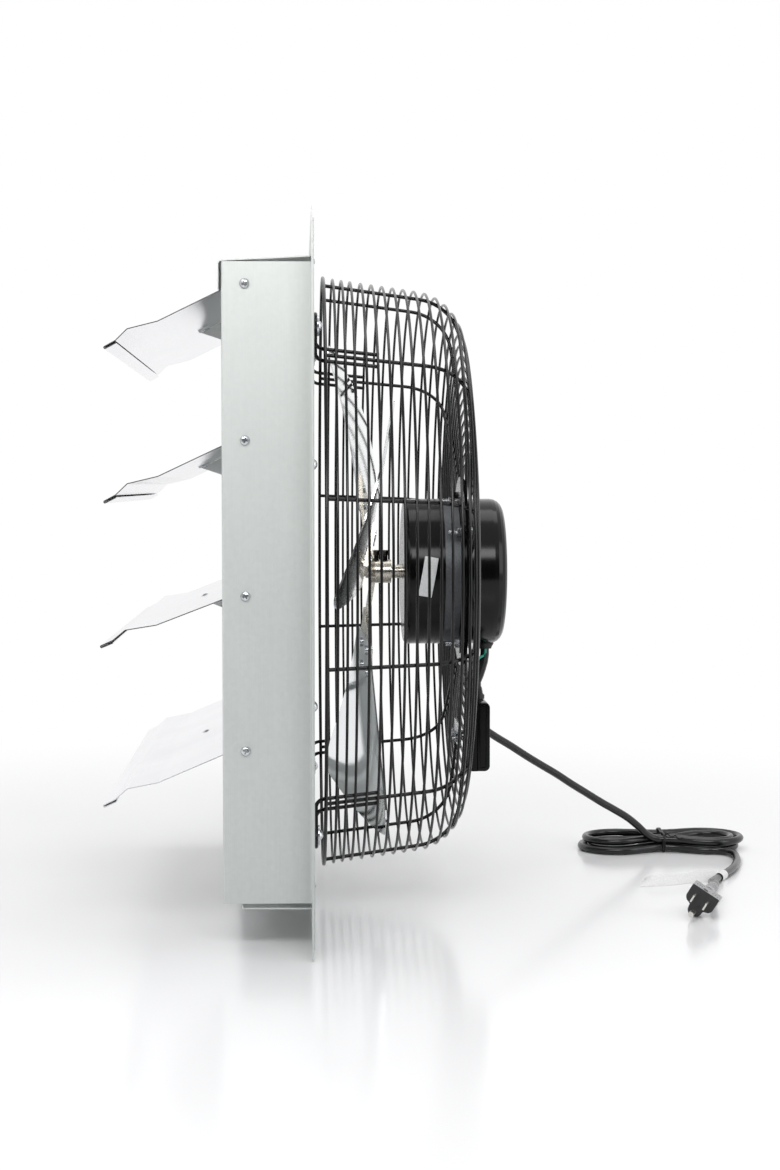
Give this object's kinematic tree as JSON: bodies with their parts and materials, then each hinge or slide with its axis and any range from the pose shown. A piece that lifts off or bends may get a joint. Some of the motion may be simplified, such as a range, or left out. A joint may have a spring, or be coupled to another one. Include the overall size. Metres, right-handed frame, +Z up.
{
  "type": "shutter exhaust fan",
  "caption": "Wall-mounted shutter exhaust fan: square louvred housing, axial fan on a motor held by a domed wire guard, junction box and coiled power cord with a three-pin plug.",
  "frame": {"origin": "centre of the wall flange, on the fan axis, in the face that meets the wall", "axes": "+X along the fan axis from the louvres to the motor, +Z up"},
  "size_m": [0.6314, 0.604, 0.604],
  "materials": {
    "galvanised_sheet": "satin galvanised",
    "zinc_fasteners": "zinc plated",
    "louvre_aluminium": "bright mill",
    "nylon": "natural",
    "black_wire": "gloss powder coat",
    "motor_paint": "satin black",
    "stator_steel": "bare laminations",
    "copper_wire": "enamelled copper",
    "hub_steel": "zinc plated",
    "box_plastic": "fine texture",
    "cord_vinyl": "smooth jacket",
    "earth_insulation": "smooth",
    "plug_brass": "bright"
  },
  "bodies": {
    "housing": {"frame_top": "galvanised_sheet", "frame_bottom": "galvanised_sheet", "frame_side_near": "galvanised_sheet", "frame_side_far": "galvanised_sheet", "fan_plate": "galvanised_sheet", "plate_rivets": "zinc_fasteners", "pivot_screws": "zinc_fasteners", "guard_side_rings": "black_wire", "guard_dome_rings": "black_wire", "guard_ribs": "black_wire", "guard_feet": "black_wire", "foot_screws": "zinc_fasteners", "motor_mount_ring": "motor_paint", "mount_bolts": "zinc_fasteners", "motor_front_shell": "motor_paint", "motor_rear_shell": "motor_paint", "motor_stator": "stator_steel", "motor_windings": "copper_wire", "motor_bearings": "zinc_fasteners", "box_base": "box_plastic", "box_cover": "box_plastic", "box_clamp": "hub_steel", "box_screws": "zinc_fasteners", "terminal_block": "nylon", "capacitor": "nylon", "lead_glands": "box_plastic", "motor_lead": "cord_vinyl", "earth_wire": "earth_insulation", "cord_gland": "box_plastic", "cord_run": "cord_vinyl", "cord_hank": "cord_vinyl", "cord_tail": "cord_vinyl", "cord_tie": "cord_vinyl", "plug_body": "cord_vinyl", "plug_pins": "plug_brass"},
    "fan": {"motor_rotor": "stator_steel", "motor_shaft": "zinc_fasteners", "fan_hub": "hub_steel", "hub_set_screws": "zinc_fasteners", "blade_1": "louvre_aluminium", "blade_2": "louvre_aluminium", "blade_3": "louvre_aluminium", "blade_rivets": "zinc_fasteners"},
    "louvre_1": {"louvre_1": "louvre_aluminium", "louvre_bushes_1": "nylon", "louvre_clip_1": "galvanised_sheet", "clip_rivets_1": "zinc_fasteners"},
    "louvre_2": {"louvre_2": "louvre_aluminium", "louvre_bushes_2": "nylon", "louvre_clip_2": "galvanised_sheet", "clip_rivets_2": "zinc_fasteners"},
    "louvre_3": {"louvre_3": "louvre_aluminium", "louvre_bushes_3": "nylon", "louvre_clip_3": "galvanised_sheet", "clip_rivets_3": "zinc_fasteners"},
    "louvre_4": {"louvre_4": "louvre_aluminium", "louvre_bushes_4": "nylon", "louvre_clip_4": "galvanised_sheet", "clip_rivets_4": "zinc_fasteners"},
    "tie_bar": {"tie_bar": "galvanised_sheet"}
  },
  "joints": [
    {"name": "fan_spin", "type": "hinge", "parent": "housing", "child": "fan", "pos_m": [0.1, 0, 0], "axis": [1, 0, 0], "continuous": true},
    {"name": "louvre_1_swing", "type": "hinge", "parent": "housing", "child": "louvre_1", "pos_m": [-0.054, 0, 0.2447], "axis": [0, -1, 0], "range_deg": [0, 62]},
    {"name": "louvre_2_swing", "type": "hinge", "parent": "housing", "child": "louvre_2", "pos_m": [-0.054, 0, 0.1177], "axis": [0, -1, 0], "range_deg": [0, 62]},
    {"name": "louvre_3_swing", "type": "hinge", "parent": "housing", "child": "louvre_3", "pos_m": [-0.054, 0, -0.0093], "axis": [0, -1, 0], "range_deg": [0, 62]},
    {"name": "louvre_4_swing", "type": "hinge", "parent": "housing", "child": "louvre_4", "pos_m": [-0.054, 0, -0.1363], "axis": [0, -1, 0], "range_deg": [0, 62]},
    {"name": "tie_bar_link", "type": "hinge", "parent": "louvre_1", "child": "tie_bar", "pos_m": [-0.0424, 0.002, 0.2106], "axis": [0, -1, 0], "range_deg": [-62, 0]}
  ],
  "couplings": [
    {"joint": "louvre_2_swing", "follows": "louvre_1_swing", "ratio": 1},
    {"joint": "louvre_3_swing", "follows": "louvre_1_swing", "ratio": 1},
    {"joint": "louvre_4_swing", "follows": "louvre_1_swing", "ratio": 1},
    {"joint": "tie_bar_link", "follows": "louvre_1_swing", "ratio": -1}
  ]
}
